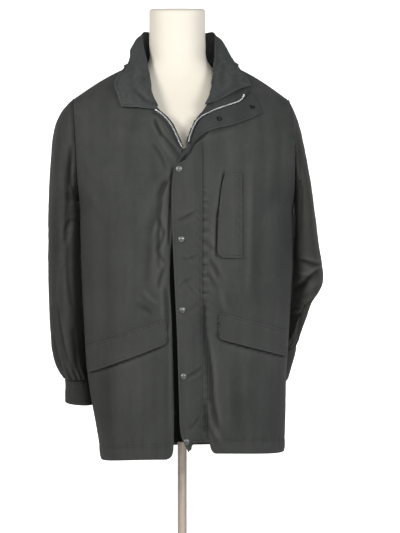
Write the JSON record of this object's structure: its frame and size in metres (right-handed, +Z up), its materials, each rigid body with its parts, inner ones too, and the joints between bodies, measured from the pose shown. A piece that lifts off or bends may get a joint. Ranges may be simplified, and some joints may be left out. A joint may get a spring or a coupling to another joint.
{
  "type": "zipped three-quarter-length coat on a limbless dress form stand",
  "caption": "Hollow dark coat with stand collar, storm flap, set-in sleeves and flap pockets, worn open at the neck on a limbless dress form with pole and disc base.",
  "frame": {"origin": "centre of the underside of the stand's disc base", "axes": "+Z up, the coat faces -Y, the wearer's right side is at -X"},
  "size_m": [0.6239, 0.3546, 1.5761],
  "materials": {
    "coat_cloth": "dark grey-green waxed-look cotton, matt",
    "coat_facing": "darker inner cloth, matt",
    "zip_tape": "black woven tape with silver teeth",
    "snap_metal": "dark antique snaps",
    "form_shell": "cream, matt",
    "stand_steel": "satin steel",
    "stand_socket": "dark painted"
  },
  "bodies": {
    "root": {"front_right": "coat_cloth", "front_left": "coat_cloth", "back": "coat_cloth", "sleeve_right": "coat_cloth", "sleeve_left": "coat_cloth", "cuff_right": "coat_cloth", "cuff_left": "coat_cloth", "collar": "coat_cloth", "storm_flap": "coat_cloth", "chest_flap": "coat_cloth", "pocket_flap_right": "coat_cloth", "pocket_flap_left": "coat_cloth", "storm_flap_turned": "coat_facing", "facing_right": "coat_facing", "facing_left": "coat_facing", "zip_tape_right": "zip_tape", "zip_tape_left": "zip_tape", "snap_1": "snap_metal", "snap_2": "snap_metal", "snap_3": "snap_metal", "snap_4": "snap_metal", "snap_5": "snap_metal", "snap_socket_1": "snap_metal", "snap_socket_2": "snap_metal", "form": "form_shell", "pole": "stand_steel", "pole_socket": "stand_socket", "base": "stand_steel"}
  },
  "joints": []
}
